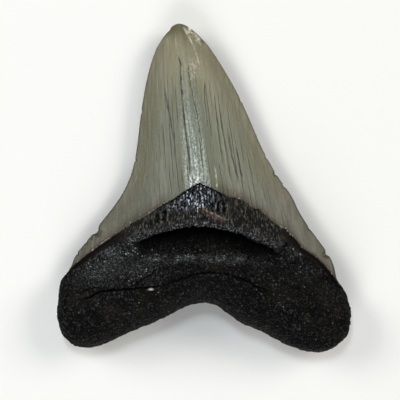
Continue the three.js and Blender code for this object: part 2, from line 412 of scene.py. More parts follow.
def labial_limit(x):
    """The y below which the labial face is root."""
    return SHOULDER_Y + SHOULDER_SLOPE * x + LABIAL_ARCH * (1 - (x / HALF_WIDTH) ** 2)


def is_crown_side(point):
    """True for a place beside the cutting edges, above the shoulders."""
    return point.y / MM > SHOULDER_Y + SHOULDER_SLOPE * point.x / MM + SHOULDER_MARGIN


class CuttingEdge:
    """The crown's sharp outline: how near it is, how far along it, and which way is out."""

    def __init__(self, bm):
        points = {}
        for edge in bm.edges:
            if is_knife_edge(edge) and is_crown_side(edge.verts[0].co):
                points.update((v.index, v) for v in edge.verts)
        verts = sorted(points.values(), key=lambda v: -v.co.y)
        tip = verts[0].co
        self.tree = kdtree.KDTree(len(verts))
        self.facts = []
        run = {-1: (0.0, tip), 1: (0.0, tip)}
        for v in verts:
            # The crown leans left, so its middle line does too.
            side = -1 if v.co.x < tip.x * (v.co.y / tip.y) else 1
            length, last = run[side]
            length += (v.co - last).length
            run[side] = length, v.co
            outward = Vector((v.normal.x, v.normal.y, 0)).normalized()
            self.tree.insert(v.co, len(self.facts))
            self.facts.append((length / MM, outward))
        self.tree.balance()

    def near(self, point):
        """Distance in mm, length from the tip in mm, and the outward direction."""
        _, index, gap = self.tree.find(point)
        length, outward = self.facts[index]
        return gap / MM, length, outward


def needs_detail(face):
    """True on and round the bourlette, and in the lingual face's cracks and creases."""
    place = face.calc_center_median() / MM
    if face.normal.z <= LINGUAL_TILT:
        return False
    top, foot = height_on(ENAMEL_FOOT, place.x), height_on(LEDGE, place.x)
    return foot - FINE_BELOW < place.y < top + FINE_ABOVE or any(
        groove.share(place.x, place.y) > LEAST_SHARE for groove in CRACK_GROOVES + CREASE_GROOVES)


def split_faces(bm, faces):
    """Cuts every edge of the faces in two."""
    edges = {edge for face in faces for edge in face.edges}
    bmesh.ops.subdivide_edges(bm, edges=list(edges), cuts=1, use_grid_fill=True)


def refine(bm, smooth):
    """Adds the fine mesh that each region's detail needs, and lays it on the smooth surface."""
    split_faces(bm, [face for face in bm.faces if face.normal.z > 0])
    split_faces(bm, [face for face in bm.faces if needs_detail(face)])
    bm.normal_update()
    bm.verts.index_update()
    sharp = CuttingEdge(bm)
    band = []
    for edge in bm.edges:
        start, end = (v.co for v in edge.verts)
        middle = (start + end) / 2
        if not is_crown_side(middle) or edge.calc_length() < SERRATION_EDGE:
            continue
        gap, _, outward = sharp.near(middle)
        if gap < SERRATION_BAND and abs((end - start).normalized().dot(outward)) < ALONG_LIMIT:
            band.append(edge)
    bmesh.ops.subdivide_edges(bm, edges=band, cuts=SERRATION_CUTS, use_grid_fill=True)
    for v in bm.verts:
        v.co = smooth.find_nearest(v.co)[0]
    bm.normal_update()
    bm.verts.index_update()


# ---- carving: each function gives the height in mm to add along the surface, and what it marks ----

# Layers of ripples: the height of each, its grain across and along the tooth, mm, and its seed.
ENAMEL_RIPPLE = ((0.035, 0.9, 16, 0), (0.02, 0.45, 9, 7))
CRACK_WANDER = ((0.22, 2.5, 2.5, 0), (0.12, 0.9, 1.4, 4))
RIDGE_WANDER = ((0.1, 1.2, 1.2, 0),)
RIDGE_DASHES = ((1.2, 0.8, 0.9, 0),)
TIP_WEAR_PATCHES = ((1.2, 1.1, 1.1, 0), (0.8, 0.6, 0.6, 3))
ENAMEL_PITS = ((1, 0.7, 0.7, 0), (0.6, 0.4, 0.4, 3))
BORDER_FLAKES = ((3, 0.8, 0.8, 5),)
TALL_WRINKLE = 0.3  # the height of the wrinkles' main layer
WRINKLES = ((TALL_WRINKLE, 0.62, 2.6, 0), (0.2, 0.5, 1.1, 11))
LIP_LUMPS = ((0.3, 1, 1, 0), (0.25, 0.7, 0.7, 5))
RUST_TOP = ((0.15, 0.7, 1, 2),)
RUST_STREAKS = ((0.9, 0.5, 1, 6),)
RIM_DASHES = ((1.2, 0.8, 0.8, 8),)
RIB_DASHES = ((1.4, 0.8, 0.8, 12),)
ROOT_LUMPS = ((0.38, 8, 8, 0), (0.26, 3.9, 3.9, 2), (0.15, 1.9, 1.9, 4))
ROOT_SAND = ((1, 0.95, 0.95, 6), (0.7, 0.6, 0.6, 8))
CREASE_WANDER = ((0.5, 3, 3, 0), (0.3, 0.9, 0.9, 0))
TORUS_CLUSTERS = ((1.1, 3.5, 1.8, 4), (1.3, 1.4, 1, 6))
LEDGE_RAGS = ((0.5, 1.5, 1, 3), (0.35, 0.7, 1, 9))
LABIAL_BORDER_WANDER = ((0.4, 4, 4, 0),)

# Painted shade in the root's creases: how dark a crease is at least, and how much more for each mm of its
# depth.
CREASE_SHADE = (0.4, 0.6)

STAINED_DEPTH = 0.22      # mm: a crack this deep is stained through
WEAR_DEPTH = 0.3          # of the worn facet beside the tip
RIDGE_HEIGHT = 0.12       # of the pale ridges
PIT_RELIEF = 0.09         # of the pitted patch
LOW_WRINKLES = 3.0        # this near above the lip the bourlette's wrinkles are low
FULL_WRINKLES = 6.0       # and from here up they have their full height
RIB_WIDTH = 0.22          # half width of the bourlette's ribs and of the rust's pale rim
OUTER_START = 27          # from this far out the bourlette narrows to a groove,
OUTER_END = 32            # which is all that is left of it here
OUTER_DEPTH = 0.75        # of that groove
DARK_LINE = 1.2           # width of what stands for the bourlette on the labial face
TORUS_Y = -24.8           # the root's thickest line, on the centre line
TORUS_BEND = 0.002        # how it falls away to both sides, mm per mm squared
SERRATION_LIFT = 0.09     # height of the serrations on each face


def least_zero(value, most=math.inf):
    """The value, but no less than 0 and no more than most."""
    return min(most, max(0.0, value))


def swell(x, y):
    """How far a place is shifted across the tooth, in mm."""
    shift = Vector((0, 0, 0))
    for centre, radius, (dx, dy) in SWELLS:
        shift += Vector((dx, dy, 0)) * spot(x, y, centre, radius, radius)
    return shift


def tip_wear(x, y):
    """1 where the facet along the right side of the tip is worn most."""
    start, end, width = WORN_TIP
    gap, along = distance_to((start, end), x, y)
    facet = (1 - ramp(gap, 0.5 * width, width)) * min(1.0, 5 * along + 0.3, 5 * (1 - along))
    return facet * least_zero(0.4 + waves(TIP_WEAR_PATCHES, x, y))


def enamel_relief(p, marks):
    """Growth cracks, the fine drawn-out ripple between them, pale ridges and the pitted patch. The ridges at
    the tip are worn; those in the middle carry painted glints.
    """
    x, y = p.x, p.y
    height = waves(ENAMEL_RIPPLE, x, y, p.z)
    strayed = x + waves(CRACK_WANDER, x, y)
    for crack in CRACK_GROOVES:
        share = crack.share(strayed, y)
        height -= crack.depth * share
        marks["crack"] = max(marks["crack"], share * min(1.0, crack.depth / STAINED_DEPTH))
    # The ridges in the crown's middle are painted glints on the cracks' flanks; the others are worn.
    strayed = x + waves(RIDGE_WANDER, x, y)
    dashes = least_zero(0.75 + waves(RIDGE_DASHES, x, y))
    for ridge in RIDGES:
        share = ridge.share(strayed, y)
        height += RIDGE_HEIGHT * share
        marks["worn"] = max(marks["worn"], min(1.0, 2.4 * ridge.width * share * dashes))
    wear = tip_wear(x, y)
    height -= WEAR_DEPTH * wear
    marks["worn"] = max(marks["worn"], min(1.0, wear))
    patch = spot(x, y, *PITTED_PATCH, power=2)
    if patch > 0.02:
        pits = waves(ENAMEL_PITS, x, y, p.z)
        height += PIT_RELIEF * patch * pits
        marks["worn"] = max(marks["worn"], 0.75 * patch * least_zero(pits))
    return height


def rust_relief(x, y, marks):
    """The rust patch hangs in streaks below a thin pale rim, which is all that stands out."""
    (cx, cy), tilt, half_length, width = RUST_PATCH
    along = (x - cx) * math.cos(tilt) + (y - cy) * math.sin(tilt)
    below = (x - cx) * math.sin(tilt) - (y - cy) * math.cos(tilt) + waves(RUST_TOP, x)
    ends = bell(along, half_length, 6)
    streaks = least_zero(0.75 + waves(RUST_STREAKS, x), 1.0)
    marks["rust"] = ends * ramp(below, -0.25, 0.1) * (1 - ramp(below, 0.4 * width, width)) * streaks
    rim = ends * bell(below + 0.05, RIB_WIDTH) * least_zero(0.35 + waves(RIM_DASHES, x, y))
    marks["worn"] = min(0.7, rim)
    return 0.25 * rim


def bourlette_relief(p, above_ledge, marks):
    """Vertical wrinkles, pits, ribs, the rust patch and the raised lip."""
    x, y = p.x, p.y
    wrinkle = waves(WRINKLES, x, y)
    calm = 1 - 0.5 * ramp(abs(x + 1), 9, 20)
    marks["crest"] = wrinkle / TALL_WRINKLE * calm
    height = wrinkle * calm * (0.35 + 0.65 * ramp(above_ledge, LOW_WRINKLES, FULL_WRINKLES))
    for centre, half_width, half_height, depth in BOURLETTE_PITS:
        share = spot(x, y, centre, half_width, half_height)
        height -= depth * share
        marks["crack"] = max(marks["crack"], share)
    # The lip is widest near the hollow's two ends, and fades out beyond them.
    lip_width = 1.2 + 1.1 * bell(abs(x) - 24, 5)
    lip = bell(above_ledge - 0.5 * lip_width, lip_width) * ramp(abs(x), 30, 25)
    marks["rubbed"] = lip
    height += lip * (0.3 + waves(LIP_LUMPS, x, y, p.z))
    height += rust_relief(x, y, marks)
    broken = 0.35 * least_zero(0.5 + waves(RIB_DASHES, x, y), 1.0)
    for rib, top, foot in BOURLETTE_RIBS:
        share = bell(x - rib - 0.25 * ripple(0, y, 0, 1, 1.5, rib), RIB_WIDTH)
        share *= ramp(y, foot - 0.4, foot + 0.4) * ramp(y, top + 0.4, top - 0.4)
        height += 0.3 * share
        marks["worn"] = max(marks["worn"], share * broken)
    return height


def root_relief(p, shape, marks):
    """Lumps down to sand size, greyer shoulders, a pale fleck and creases."""
    x, y = p.x, p.y
    sand = waves(ROOT_SAND, x, y, p.z)
    marks["crest"] = sand
    height = waves(ROOT_LUMPS, x, y, p.z) + shape.grain / MM * sand
    for centre, half_width, half_height, share in ROOT_SHOULDERS:
        marks["rubbed"] = max(marks["rubbed"], share * spot(x, y, centre, half_width, half_height))
    fleck = spot(x, y, *PALE_FLECK, power=2)
    marks["worn"] = fleck
    height += 0.3 * fleck
    strayed = y + waves(CREASE_WANDER, x, y)
    least, more = CREASE_SHADE
    for crease in CREASE_GROOVES:
        share = crease.share(x, strayed)
        height -= crease.depth * share
        marks["crack"] = max(marks["crack"], share * min(1.0, least + more * crease.depth))
    return height


def hollow_relief(x, y, below_ledge, shape, marks):
    """The hollow under the lip, in the middle only, marked for painted shade, and the pale sand along the
    root's torus below it, partly a painted highlight on its lit ridge.
    """
    middle = bell(x - 0.8, 25.7, 8)
    # Painted shade: the hollow is marked to be painted near black, for the shadow under the lip.
    marks["hollow"] = middle * ramp(below_ledge, 0.0, 0.6) * (1 - ramp(below_ledge, 3.0, 7.5))
    # Painted highlight: the torus's lit ridge is marked for greyer sand and more glints, in clusters.
    torus = bell(y - TORUS_Y + TORUS_BEND * x * x, 1.35) * bell(x, 26, 4)
    marks["rubbed"] = max(marks["rubbed"], torus * least_zero(0.6 + waves(TORUS_CLUSTERS, x, y), 1.2))
    scoop = ramp(below_ledge, 0.0, 0.9) * (1 - ramp(below_ledge, 2.2, 8.0))
    return -middle * shape.hollow_depth / MM * scoop


def lingual_relief(p, shape, marks):
    """The lingual face: enameloid, bourlette and root, and the steps between them."""
    x, y = p.x, p.y
    # The enameloid's border is crisp in the middle and ragged on both flanks.
    flank = ramp(abs(x), 8, 14)
    ragged_flank = flank * ramp(abs(x), 36, 28)
    rags = ripple(x, y, 0, 0.8, 4.0) + 0.7 * ripple(x, 0, 0, 0.5, 1)
    below_enamel = height_on(ENAMEL_FOOT, x) + (0.15 + 0.45 * ragged_flank) * rags - y
    below_ledge = height_on(LEDGE, x) + waves(LEDGE_RAGS, x) - y
    marks["below_enamel"] = below_enamel
    marks["below_ledge"] = below_ledge
    in_root = ramp(below_ledge, -0.2, 0.5)
    in_enamel = 1 - ramp(below_enamel, -0.1, 0.6)
    in_bourlette = (1 - in_enamel) * (1 - in_root)
    step = shape.enamel_thickness / MM * (1 - 0.5 * ragged_flank)
    height = -step * ramp(below_enamel, -0.15, 0.45)
    # Towards the shoulders the bourlette narrows to a groove.
    height -= OUTER_DEPTH * ramp(abs(x), OUTER_START, OUTER_END) * bell(below_enamel - 1.2, 0.85)
    if in_enamel > 0:
        height += in_enamel * (enamel_relief(p, marks) + 0.1 * bell(below_enamel + 0.4, 0.4))
        # Flakes along its border have gone pale.
        flakes = flank * bell(below_enamel + 0.2, 0.3) * least_zero(waves(BORDER_FLAKES, x, y) - 0.8, 0.7)
        marks["worn"] = max(marks["worn"], flakes)
    if in_bourlette > 0:
        height += in_bourlette * bourlette_relief(p, -below_ledge, marks)
    if in_root > 0:
        height += in_root * root_relief(p, shape, marks)
        height += hollow_relief(x, y, below_ledge, shape, marks)
    # Where the lip catches the light most: more painted highlight, and none of the hollow's painted shade.
    for centre, half_width, half_height in PALE_LIP:
        share = spot(x, y, centre, half_width, half_height)
        marks["rubbed"] += 1.2 * share
        marks["hollow"] *= 1 - share
    return height


def labial_relief(p, shape, marks):
    """The flatter face: enameloid with the same cracks seen from behind, a dark line and root."""
    below_enamel = labial_limit(p.x) - 1.0 - p.y + waves(LABIAL_BORDER_WANDER, p.x, p.y)
    marks["below_enamel"] = below_enamel
    marks["below_ledge"] = below_enamel - DARK_LINE
    in_root = ramp(below_enamel, 0.0, 0.8)
    height = -0.5 * shape.enamel_thickness / MM * ramp(below_enamel, -0.1, 0.5)
    if in_root < 1:
        height += 0.7 * (1 - in_root) * enamel_relief(Vector((-p.x, p.y - 3, p.z)), marks)
        marks["worn"] = 0.0
    if in_root > 0:
        height += in_root * root_relief(Vector((-p.x, p.y, p.z)), shape, marks)
    return height


def edge_offset(gap, length, p, shape, marks):
    """How far the serrations and chips move a place beside a cutting edge outwards, in mm, and its height."""
    # The serrations are unevenly spaced, and worn down here and there.
    phase = length * MM / shape.serration_pitch + 0.35 * noise.noise(Vector((length / 5, 0.0, 0.0)))
    wave = abs(math.sin(math.pi * phase)) ** 0.7
    worn_down = 0.75 + 0.4 * noise.noise(Vector((length / 3.5, 4.0, 0.0)))
    fall = least_zero(1 - gap / SERRATION_BAND) ** 1.3
    out = shape.serration_depth / MM * (wave - 0.75) * fall * worn_down
    lift = SERRATION_LIFT * (wave - 0.6) * fall
    # Painted shade in the notches between the serration points and, below, in the chips.
    marks["chip"] = (1 - wave) * least_zero(1 - gap / 0.9)
    for (cx, cy), radius, depth in EDGE_CHIPS:
        away = math.hypot(p.x - cx, p.y - cy) / radius
        if away < 2.5:
            share = bell(away, 1, 2.4)
            out -= depth * share
            marks["chip"] = max(marks["chip"], share)
    return out, lift


MARKS = (
    "below_enamel", "below_ledge", "edge_gap", "lane",  # distances in mm
    "crack", "worn", "crest", "rubbed", "rust", "hollow", "chip",  # strengths, most of them from 0 to 1
)
ENAMELOID, BOURLETTE, ROOT = 0, 1, 2  # the places of their finishes in the mesh's list
GAP_LIMIT = 30.0  # mm from a cutting edge, past which the distance isn't needed
EDGE_FADE = 1.5   # mm beside a cutting edge in which both faces' carving fades out
EDGE_REACH = 4    # mm from it that the chips reach


def carve(bm, shape):
    """Moves every vertex by its region's relief and stores the marks that the finish reads."""
    layers = {name: bm.verts.layers.float.new(name) for name in MARKS}
    sharp = CuttingEdge(bm)
    moved = []
    for v in bm.verts:
        p = v.co / MM
        marks = dict.fromkeys(MARKS, 0.0)
        gap, length, outward = sharp.near(v.co)
        marks["edge_gap"] = min(gap, GAP_LIMIT)
        marks["lane"] = growth_lane(p.x, p.y)
        lingual = v.normal.z > 0
        relief = (lingual_relief if lingual else labial_relief)(p, shape, marks)
        # The cutting edge itself stays sharp.
        move = v.normal * relief * ramp(gap, 0.0, EDGE_FADE)
        if gap < EDGE_REACH and is_crown_side(v.co):
            out, lift = edge_offset(gap, length, p, shape, marks)
            move += outward * out + Vector((0, 0, lift if lingual else -lift))
        place = v.co + (move + swell(p.x, p.y)) * MM
        place.z = max(place.z, TOOTH_LOW.z)
        moved.append(place)
        for name, layer in layers.items():
            v[layer] = marks[name]
    for v, place in zip(bm.verts, moved):
        v.co = place
    for face in bm.faces:
        below_enamel, below_ledge = (
            sum(v[layers[name]] for v in face.verts) for name in ("below_enamel", "below_ledge"))
        face.material_index = ENAMELOID if below_enamel < 0 else BOURLETTE if below_ledge < 0 else ROOT
    bm.normal_update()


# ---- the finish ----

# Settings of the nodes that the patterns are made of.
TIMES = {"operation": "MULTIPLY"}
PLUS = {"operation": "ADD"}
MINUS = {"operation": "SUBTRACT"}
LARGER = {"operation": "MAXIMUM"}
UNSIGNED = {"operation": "ABSOLUTE"}
SCALED = {"operation": "SCALE"}
SMOOTH = {"interpolation_type": "SMOOTHSTEP"}
COLOURS = {"data_type": "RGBA"}


def add(tree, kind, settings, *inputs, out=None, **named):
    """Adds a node with its settings and links, and gives its output: the first one, or the one called out.

    An input is a value, or the output that feeds it. They fill the node's sockets in order, or by name.
    """
    made = tree.nodes.new("ShaderNode" + kind)
    for name, value in settings.items():
        setattr(made, name, value)
    filled = list(zip([socket for socket in made.inputs if socket.enabled], inputs))
    filled += [(made.inputs[name.replace("_", " ")], value) for name, value in named.items()]
    for socket, value in filled:
        if isinstance(value, bpy.types.NodeSocket):
            tree.links.new(value, socket)
        else:
            socket.default_value = value
    return made.outputs[out] if out else next((socket for socket in made.outputs if socket.enabled), None)


def new_finish(name, *marks):
    """A new empty material, what adds a node to it, the place on the tooth and the marks that it reads."""
    material = bpy.data.materials.new(name)
    material.use_nodes = True
    material.node_tree.nodes.clear()
    node = functools.partial(add, material.node_tree)
    place = node("TexCoord", {}, out="Object")
    return material, node, place, *(node("Attribute", {"attribute_name": mark}, out="Fac") for mark in marks)


def grain(node, place, size, stretch=1.0, detail=2.0, rough=0.5):
    """Noise whose grains are size mm across the tooth and stretch times that along it."""
    scaled = node("Mapping", {}, place, Scale=(1, 1 / stretch, 1))
    return node("TexNoise", {}, scaled, Scale=1 / (size * MM), Detail=detail, Roughness=rough)


def end_finish(node, colour, rough, relief, **constants):
    """Joins a finish's parts; relief is a height in metres that is finer than the mesh."""
    bump = node("Bump", {}, Height=relief, Strength=1.0, Distance=1.0)
    shader = node("BsdfPrincipled", {}, Base_Color=colour, Roughness=rough, Normal=bump, **constants)
    node("OutputMaterial", {}, shader)


def polished_enameloid(finish):
    """Fossil enameloid, polished by the sea bed.

    The eye sees a satin grey-green, olive at its edges, with everything drawn out along the crown.
    """
    material, node, place, gap, below, lane, crack, chip, worn = new_finish(
        "enameloid_polished_by_sand", "edge_gap", "below_enamel", "lane", "crack", "chip", "worn")
    height = node("SeparateXYZ", {}, place, out="Y")
    to_tip = node("MapRange", SMOOTH, height, 21 * MM, 68 * MM)
    colour = node("Mix", COLOURS, to_tip, finish.enamel, finish.enamel_tip)
    near_edge = node("MapRange", SMOOTH, gap, 11.0, 1.0, 0.0, 0.85)
    colour = node("Mix", COLOURS, near_edge, colour, finish.enamel_margin)
    # Patterns along the growth lines read how far across them a place is, and its height.
    across = node("Math", TIMES, lane, MM)
    drawn_out = node("CombineXYZ", {}, across, height)
    off_middle = node("Math", UNSIGNED, lane)
    tan = node("MapRange", SMOOTH, below, -5.0, -0.5)
    tan = node("Math", TIMES, tan, node("MapRange", SMOOTH, grain(node, place, 5.0, 2.5), 0.25, 0.5))
    tan = node("Math", TIMES, tan, node("MapRange", SMOOTH, off_middle, 5.0, 12.0))
    colour = node("Mix", COLOURS, tan, colour, finish.enamel_foot)
    # Painted shade along the very cutting edge, where its serrations' notches lie.
    painted_edge_shade = node("MapRange", SMOOTH, gap, 0.6, 0.1, 0.0, 0.5)
    colour = node("Mix", COLOURS, painted_edge_shade, colour, finish.crack)
    # Long streaks, strongest away from the edges, and a fine mottle.
    streak = node("Math", MINUS, grain(node, drawn_out, 1.8, 26.0, 3.0, 0.6), 0.5)
    inside = node("MapRange", SMOOTH, gap, 5.0, 13.0)
    streak = node("Math", TIMES, streak, node("MapRange", SMOOTH, inside, 0.0, 1.0, 0.2, 0.8))
    mottle = node("Math", MINUS, grain(node, place, 0.7, 1.5, 3.0, 0.65), 0.5)
    mottle = node("Math", TIMES, mottle, 0.4)
    tone = node("Math", PLUS, node("Math", PLUS, streak, mottle), 0.97)
    # Painted light: the right side is a little paler than the left, as lit more from that side. The foot is a
    # little darker.
    paler = node("Math", TIMES, node("MapRange", SMOOTH, lane, 3.0, 9.0, 0.0, 0.2),
                 node("MapRange", SMOOTH, height, -6 * MM, 4 * MM))
    tone = node("Math", PLUS, tone, paler)
    tone = node("Math", MINUS, tone, node("MapRange", SMOOTH, height, 12 * MM, -12 * MM, 0.0, 0.31))
    colour = node("VectorMath", SCALED, colour, tone)
    # A painted highlight, the key light's sheen: the middle is speckled and bluer in bands between the
    # cracks, most of all just above the bourlette.
    off_band = node("Math", UNSIGNED, node("Math", MINUS, lane, 2.2))
    near_middle = node("Math", TIMES, node("MapRange", SMOOTH, off_band, 5.5, 1.5),
                       node("MapRange", SMOOTH, height, 40 * MM, 0.0, 0.1, 0.9))
    bands = node("MapRange", SMOOTH, grain(node, drawn_out, 1.5, 30.0, 1.0), 0.38, 0.54, 0.15, 1.0)
    speckle = node("MapRange", SMOOTH, grain(node, place, 0.6, 1.6, 2.0, 0.7), 0.43, 0.6, 0.15, 1.0)
    sheen = node("Math", TIMES, node("Math", TIMES, near_middle, bands), speckle)
    colour = node("Mix", COLOURS, sheen, colour, finish.painted_sheen_highlight)
    # A painted highlight: it is brightest in a patch of white glints at its foot.
    off_patch = node("Math", UNSIGNED, node("Math", MINUS, lane, 1.5))
    patch = node("Math", TIMES, node("MapRange", SMOOTH, off_patch, 3.0, 1.2),
                 node("MapRange", SMOOTH, height, 7 * MM, 2 * MM))
    grains = node("MapRange", SMOOTH, grain(node, place, 0.6, 1.4, 2.0, 0.6), 0.51, 0.64)
    colour = node("Mix", COLOURS, node("Math", TIMES, patch, grains), colour, finish.painted_white_glints)
    # Hairline cracks keep to the growth lines: thin, unevenly spaced, each with its own start and end.
    wander = node("Math", TIMES, grain(node, drawn_out, 3.0, 5.0, 2.0), 1.1 * MM)
    gap_to_line = node("TexVoronoi", {"voronoi_dimensions": "1D", "feature": "DISTANCE_TO_EDGE"},
                       W=node("Math", PLUS, across, wander), Scale=1 / (1.5 * MM), out="Distance")
    hairline = node("MapRange", SMOOTH, gap_to_line, 0.09, 0.03)
    for part in (
        node("MapRange", SMOOTH, gap, 5.0, 9.0),
        node("MapRange", SMOOTH, height, 46 * MM, 32 * MM),
        node("MapRange", SMOOTH, grain(node, drawn_out, 0.9, 20.0, 1.0), 0.5, 0.55),
        node("MapRange", SMOOTH, lane, -10.0, -5.0, 0.4, 1.0),
    ):
        hairline = node("Math", TIMES, hairline, part)
    broken = node("MapRange", SMOOTH, grain(node, drawn_out, 1.2, 3.0, 2.0), 0.35, 0.6, 0.45, 1.0)
    cracked = node("Math", TIMES, node("MapRange", SMOOTH, crack, 0.2, 0.7), broken)
    # On both flanks the bourlette's black runs up into the enameloid in short streaks.
    soaked = node("Math", TIMES, node("MapRange", SMOOTH, below, -1.8, 0.2),
                  node("MapRange", SMOOTH, grain(node, place, 0.6, 5.0, 2.0), 0.4, 0.6))
    soaked = node("Math", TIMES, soaked, node("MapRange", SMOOTH, off_middle, 8.0, 14.0))
    # The cracks' and streaks' dark, together with the painted shade of the chips and notches.
    stained = node("Math", {**PLUS, "use_clamp": True}, node("Math", LARGER, cracked, soaked),
                   node("Math", TIMES, chip, 0.6))
    stained = node("Math", LARGER, stained, hairline)
    colour = node("Mix", COLOURS, stained, colour, finish.crack)
    # Worn marks go pale; in the middle band they are painted glints instead, in the sheen's colour.
    in_sheen = node("MapRange", SMOOTH, near_middle, 0.1, 0.5)
    pale = node("Mix", COLOURS, in_sheen, finish.worn, finish.painted_sheen_highlight)
    colour = node("Mix", COLOURS, worn, colour, pale)
    satin = node("MapRange", SMOOTH, grain(node, drawn_out, 0.8, 12.0), 0.3, 0.7, 0.34, 0.48)
    # Its real pores and growth lines are finer, and are drawn as coarse as they need to be to show.
    lines = node("Math", TIMES, grain(node, drawn_out, 0.7, 30.0), 0.06 * MM)
    pores = node("Math", TIMES, grain(node, place, 0.5, 1.5), 0.09 * MM)
    relief = node("Math", MINUS, node("Math", PLUS, lines, pores), node("Math", TIMES, hairline, 0.1 * MM))
    end_finish(node, colour, satin, relief, IOR=1.6, Specular_IOR_Level=0.35)
    return material


def glazed_bourlette(finish):
    """Bourlette: thin wrinkled enameloid that minerals stained black.

    The eye sees glassy blue-grey crests over black, browner and duller near its lip; the glints on the crests
    are painted.
    """
    material, node, place, below_enamel, below_ledge, lane, crest, rubbed, crack, rust, worn = new_finish(
        "bourlette_black_glaze",
        "below_enamel", "below_ledge", "lane", "crest", "rubbed", "crack", "rust", "worn")
    off_middle = node("Math", UNSIGNED, lane)
    side = node("Math", UNSIGNED, node("SeparateXYZ", {}, place, out="X"))
    # Painted glints: the crests are palest in the middle, under the crown's bright band, but not on a thin
    # rim just below it.
    pale = node("MapRange", SMOOTH, crest, -0.1, 0.6)
    for part in (
        node("MapRange", SMOOTH, grain(node, place, 0.55, 1.5, 2.0, 0.6), 0.42, 0.57),
        node("MapRange", SMOOTH, off_middle, 9.5, 1.5, 0.03, 1.0),
        node("MapRange", SMOOTH, below_enamel, 0.5, 1.1),
    ):
        pale = node("Math", TIMES, pale, part)
    colour = node("Mix", COLOURS, pale, finish.bourlette, finish.painted_crest_glints)
    # Its foot and its flanks are duller, with short grey-brown streaks over the black.
    foot = node("Math", TIMES, node("MapRange", SMOOTH, below_ledge, -7.5, -5.0),
                node("MapRange", SMOOTH, grain(node, place, 1.6, 1.5, 3.0), 0.25, 0.48))
    dull = node("Math", LARGER, foot, node("MapRange", SMOOTH, off_middle, 9.0, 16.0))
    colour = node("Mix", COLOURS, dull, colour, finish.bourlette)
    streaks = node("MapRange", SMOOTH, grain(node, place, 0.6, 4.0, 3.0, 0.6), 0.49, 0.7)
    for part in (
        node("MapRange", SMOOTH, side, 30 * MM, 22 * MM, 0.35, 1.0),
        node("MapRange", SMOOTH, rubbed, 0.2, 1.0, 1.0, 0.3),
        dull,
    ):
        streaks = node("Math", TIMES, streaks, part)
    colour = node("Mix", COLOURS, streaks, colour, finish.bourlette_brown)
    # Sand clings to the lip, less towards its two ends, partly a painted highlight where the lip's edge is
    # lit.
    sand = node("MapRange", SMOOTH, grain(node, place, 0.65, 1.0, 3.0, 0.65), 0.49, 0.66)
    lip = node("Math", TIMES, node("Math", TIMES, rubbed, sand),
               node("MapRange", SMOOTH, side, 6 * MM, 14 * MM, 1.0, 0.7))
    colour = node("Mix", COLOURS, lip, colour, finish.lip)
    outer = node("MapRange", SMOOTH, side, 26 * MM, 31 * MM)
    colour = node("Mix", COLOURS, outer, colour, finish.groove_brown)
    # Painted shade darkens the pits.
    colour = node("Mix", COLOURS, crack, colour, finish.painted_pit_and_hollow_shade)
    rusty = node("MapRange", SMOOTH, grain(node, place, 0.7, 2.5), 0.35, 0.6)
    colour = node("Mix", COLOURS, node("Math", TIMES, rust, rusty), colour, finish.rust)
    colour = node("Mix", COLOURS, node("Math", TIMES, worn, 0.7), colour, finish.worn)
    # Just under the enameloid, on both flanks, its tan hangs over the black in streaks.
    black_streak = node("MapRange", SMOOTH, grain(node, place, 0.6, 5.0, 2.0), 0.4, 0.6)
    tan = node("MapRange", SMOOTH, below_enamel, 1.4, 0.2)
    for part in (
        node("Math", MINUS, 1.0, black_streak),
        node("MapRange", SMOOTH, off_middle, 8.0, 14.0, 0.0, 0.4),
        node("Math", MINUS, 1.0, outer),
    ):
        tan = node("Math", TIMES, tan, part)
    colour = node("Mix", COLOURS, tan, colour, finish.enamel_foot)
    glazed = node("MapRange", SMOOTH, grain(node, place, 0.9, 1.6), 0.35, 0.65, 0.12, 0.28)
    rough = node("Mix", {}, dull, glazed, 0.6)
    wrinkles = node("Math", TIMES, grain(node, place, 0.8, 1.6, 1.0), 0.1 * MM)
    end_finish(node, colour, rough, wrinkles, IOR=1.6, Specular_IOR_Level=0.08)
    return material


